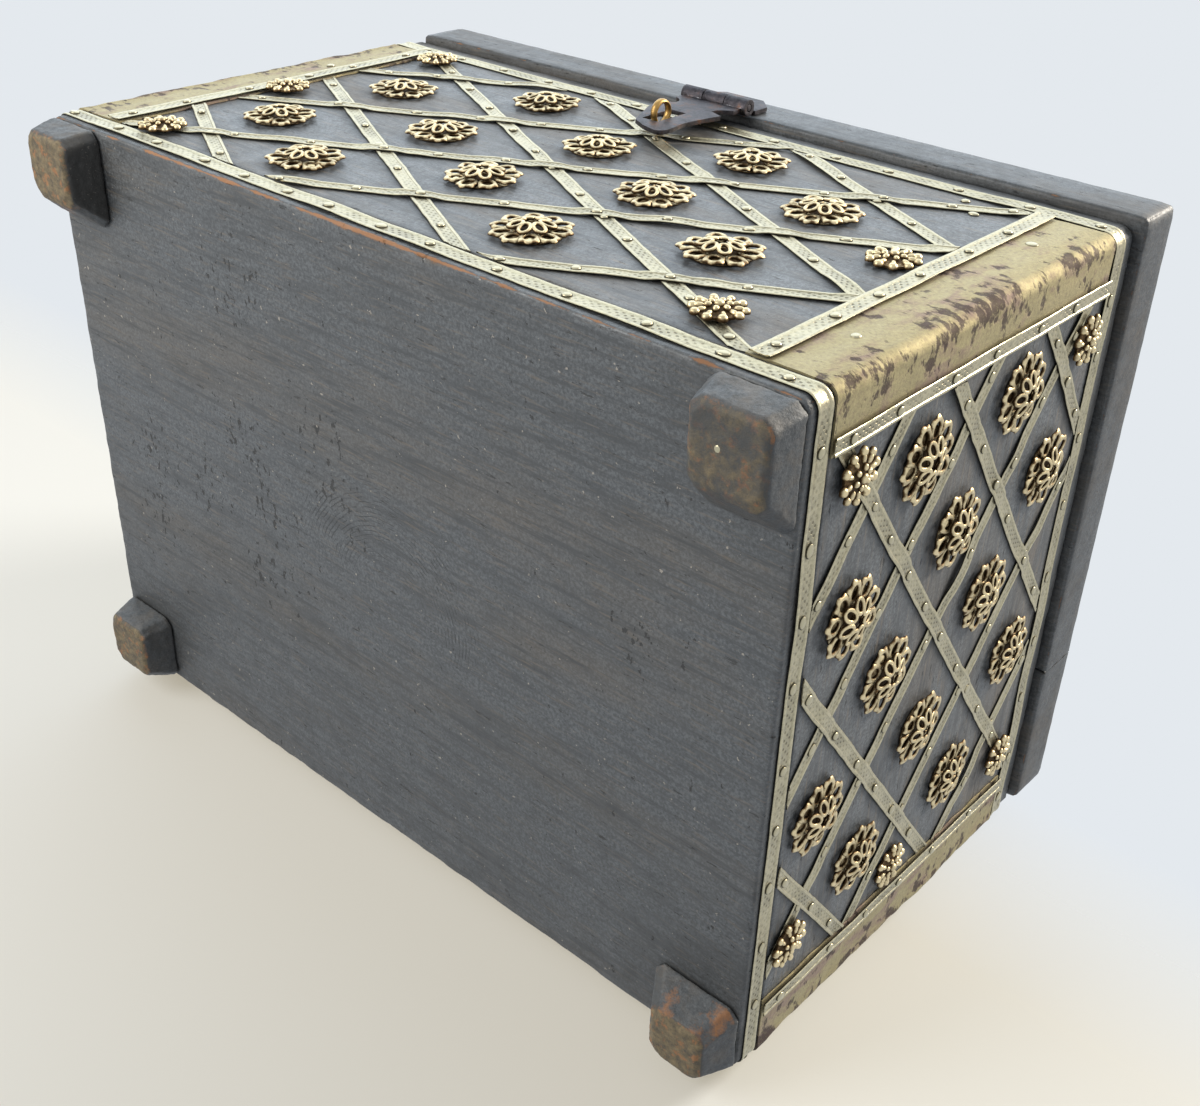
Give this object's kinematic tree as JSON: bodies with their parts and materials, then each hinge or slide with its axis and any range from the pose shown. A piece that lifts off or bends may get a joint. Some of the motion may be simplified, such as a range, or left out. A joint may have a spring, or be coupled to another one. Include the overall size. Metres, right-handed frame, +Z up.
{
  "type": "wooden box",
  "caption": "Lidded wooden box on block feet with crossed brass strips, pierced rosettes, corner plates and a hasp over a ring staple; the lid and the hasp are hinged.",
  "frame": {"origin": "on the ground under the middle of the whole closed box", "axes": "+Z up, +X along the length towards the right end, -Y out of the front with the hasp"},
  "size_m": [0.3122, 0.2342, 0.1939],
  "materials": {
    "dark_wood": "dark stained and waxed, worn edges",
    "foot_wood": "worn, part of the stain gone",
    "pale_brass": "thin rolled brass strip with a stamped middle",
    "gold_brass": "stamped and pierced brass, rubbed bright",
    "plate_brass": "hammered sheet brass, blotched and dented",
    "dark_iron": "forged iron, browned and rubbed"
  },
  "bodies": {
    "box": {"bottom_board": "dark_wood", "front_panel": "dark_wood", "back_panel": "dark_wood", "right_end_panel": "dark_wood", "left_end_panel": "dark_wood", "foot_front_left": "foot_wood", "foot_front_right": "foot_wood", "foot_rear_left": "foot_wood", "foot_rear_right": "foot_wood", "bottom_band": "pale_brass", "top_band": "pale_brass", "corner_plate_front_left": "plate_brass", "corner_plate_front_right": "plate_brass", "corner_plate_rear_left": "plate_brass", "corner_plate_rear_right": "plate_brass", "edge_strip_front_left": "pale_brass", "edge_strip_front_right": "pale_brass", "edge_strip_right_end_front": "pale_brass", "edge_strip_right_end_rear": "pale_brass", "edge_strip_left_end_front": "pale_brass", "edge_strip_left_end_rear": "pale_brass", "crossed_strips_front": "pale_brass", "crossed_strips_right_end": "pale_brass", "crossed_strips_left_end": "pale_brass", "front_rosette_1": "gold_brass", "front_rosette_2": "gold_brass", "front_rosette_3": "gold_brass", "front_rosette_4": "gold_brass", "front_rosette_5": "gold_brass", "front_rosette_6": "gold_brass", "front_rosette_7": "gold_brass", "front_rosette_8": "gold_brass", "front_rosette_9": "gold_brass", "front_rosette_10": "gold_brass", "front_rosette_11": "gold_brass", "front_rosette_12": "gold_brass", "front_small_rosette_lower_left": "gold_brass", "front_small_rosette_upper_left": "gold_brass", "front_small_rosette_lower_right": "gold_brass", "front_small_rosette_left_edge": "gold_brass", "front_small_rosette_right_edge": "gold_brass", "ring_staple": "gold_brass", "left_hinge_box_leaf": "dark_iron", "left_hinge_pin": "dark_iron", "right_hinge_box_leaf": "dark_iron", "right_hinge_pin": "dark_iron"},
    "lid": {"lid_front_board": "dark_wood", "lid_rear_board": "dark_wood", "left_hinge_lid_leaf": "dark_iron", "right_hinge_lid_leaf": "dark_iron", "hasp_lid_plate": "dark_iron", "hasp_pin": "dark_iron"},
    "hasp": {"hasp_leaf": "dark_iron"}
  },
  "joints": [
    {"name": "lid_hinge", "type": "hinge", "parent": "box", "child": "lid", "pos_m": [0, 0.1146, 0.1742], "axis": [-1, 0, 0], "range_deg": [0, 105]},
    {"name": "hasp_swing", "type": "hinge", "parent": "lid", "child": "hasp", "pos_m": [0, -0.1113, 0.174], "axis": [-1, 0, 0], "range_deg": [0, 165]}
  ]
}
